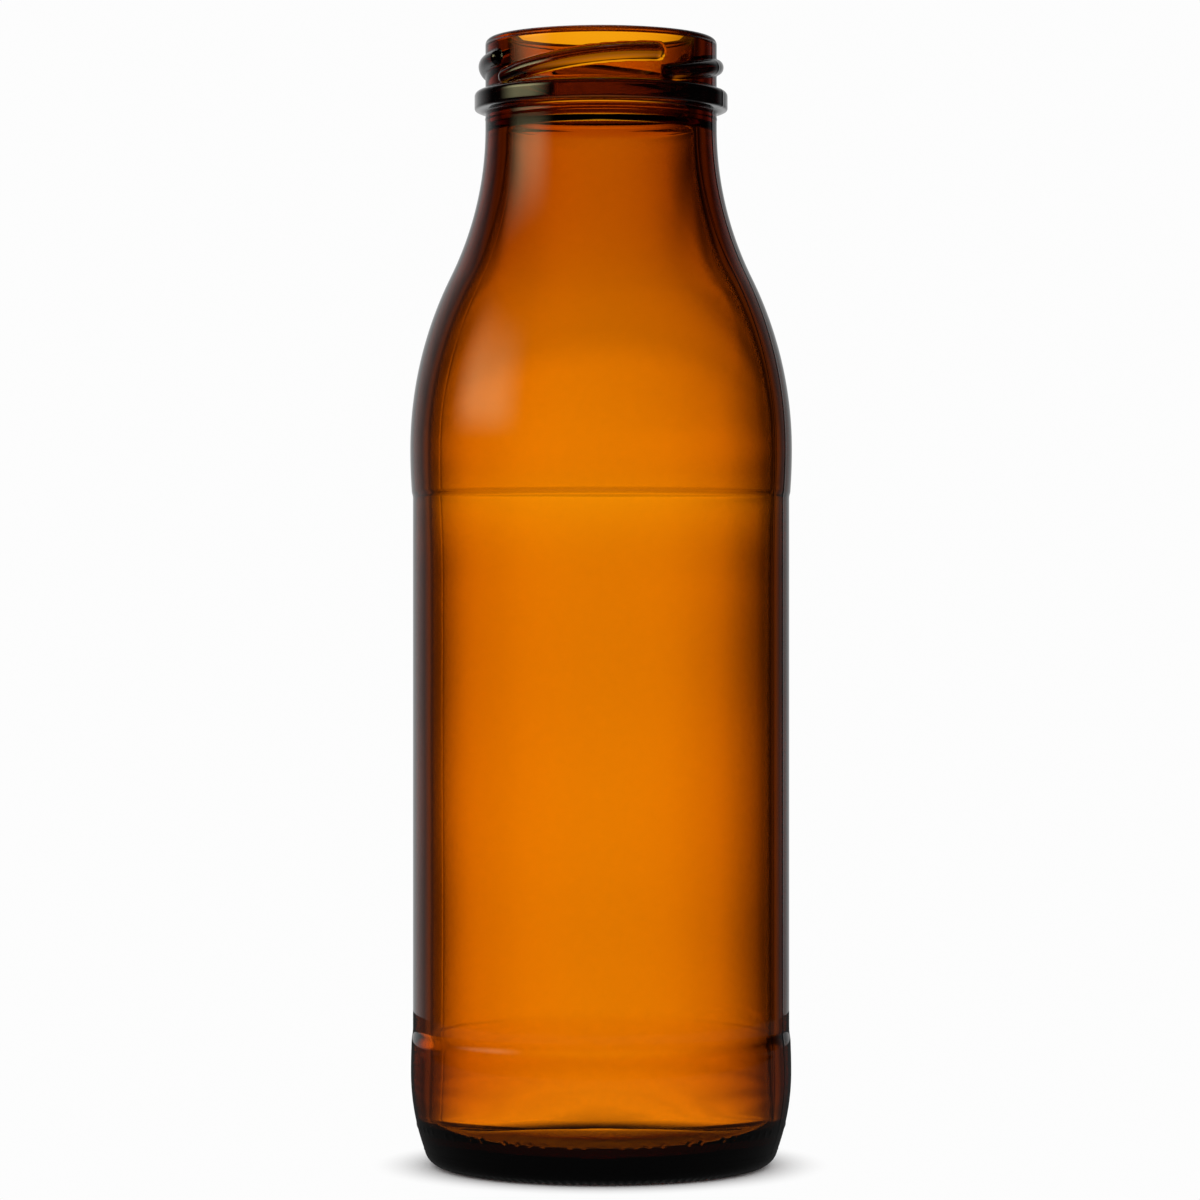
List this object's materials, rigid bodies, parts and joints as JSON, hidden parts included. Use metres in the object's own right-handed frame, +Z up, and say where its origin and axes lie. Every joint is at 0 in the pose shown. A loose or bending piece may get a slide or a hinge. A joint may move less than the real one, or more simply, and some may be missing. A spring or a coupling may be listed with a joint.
{
  "type": "milk bottle",
  "caption": "Empty wide-mouth returnable milk bottle in amber glass, with a twist-off lug finish, a ringed neck and a set-back label panel.",
  "frame": {"origin": "middle of the ring that the bottle stands on", "axes": "+Z up along the bottle's axis to the mouth, -Y the side that the view faces, +X to its right"},
  "size_m": [0.0696, 0.0696, 0.2052],
  "materials": {
    "amber_glass": "clear amber container glass, fire-polished"
  },
  "bodies": {
    "root": {"bottle": "amber_glass"}
  },
  "joints": []
}
